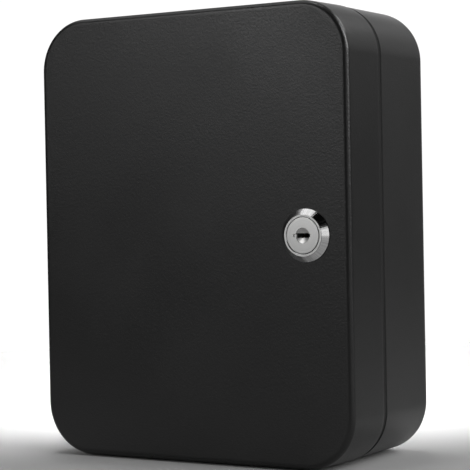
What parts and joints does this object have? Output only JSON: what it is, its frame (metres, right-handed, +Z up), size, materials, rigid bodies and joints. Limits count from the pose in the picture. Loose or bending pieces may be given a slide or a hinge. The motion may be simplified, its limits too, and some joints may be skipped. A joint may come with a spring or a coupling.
{
  "type": "wall key cabinet",
  "caption": "Wall-mounted pressed steel key cabinet with rounded corners, a deep left-hinged door, a cam lock and hook rails for keys in both halves.",
  "frame": {"origin": "middle of the cabinet's flat back, on the plane of the wall that it hangs on", "axes": "+X to the right seen from the front, +Y into the wall, +Z up; the door faces -Y and is closed at rest"},
  "size_m": [0.163, 0.0801, 0.2],
  "materials": {
    "black_powder_coat": "fine-textured matt black powder coat on pressed steel",
    "zinc_plate": "bright zinc plate on pressed steel",
    "polished_chrome": "polished chrome plate on die-cast zinc",
    "satin_nickel": "satin nickel plate on die-cast zinc",
    "wafer_brass": "stamped brass",
    "spring_steel": "dark tempered spring steel",
    "white_strip_plastic": "white printed plastic strip"
  },
  "bodies": {
    "cabinet": {"body_shell": "black_powder_coat", "body_rim": "black_powder_coat", "hinge_body_leaf_upper": "black_powder_coat", "hinge_body_leaf_lower": "black_powder_coat", "hinge_pin_upper": "black_powder_coat", "hinge_pin_lower": "black_powder_coat", "body_hook_rail_upper": "zinc_plate", "body_hook_rail_lower": "zinc_plate", "body_number_strip_upper": "white_strip_plastic", "body_number_strip_lower": "white_strip_plastic"},
    "door": {"door_shell": "black_powder_coat", "hinge_door_leaf_upper": "black_powder_coat", "hinge_door_leaf_lower": "black_powder_coat", "door_hook_rail_upper": "zinc_plate", "door_hook_rail_lower": "zinc_plate", "door_number_strip_upper": "white_strip_plastic", "door_number_strip_lower": "white_strip_plastic", "lock_housing": "polished_chrome", "lock_washer": "zinc_plate", "lock_nut": "zinc_plate"},
    "lock_barrel": {"lock_core": "satin_nickel", "shutter_upper": "spring_steel", "shutter_lower": "spring_steel", "lock_wafer_1": "wafer_brass", "lock_wafer_2": "wafer_brass", "lock_wafer_3": "wafer_brass", "lock_wafer_4": "wafer_brass", "lock_wafer_5": "wafer_brass", "lock_cam": "zinc_plate", "cam_screw": "zinc_plate", "cam_spring_washer": "spring_steel"}
  },
  "joints": [
    {"name": "door_hinge", "type": "hinge", "parent": "cabinet", "child": "door", "pos_m": [-0.08025, -0.04625, 0], "axis": [0, 0, -1], "range_deg": [0, 170]},
    {"name": "lock_turn", "type": "hinge", "parent": "door", "child": "lock_barrel", "pos_m": [0.0586, -0.077, 0], "axis": [0, -1, 0], "range_deg": [0, 90]}
  ]
}
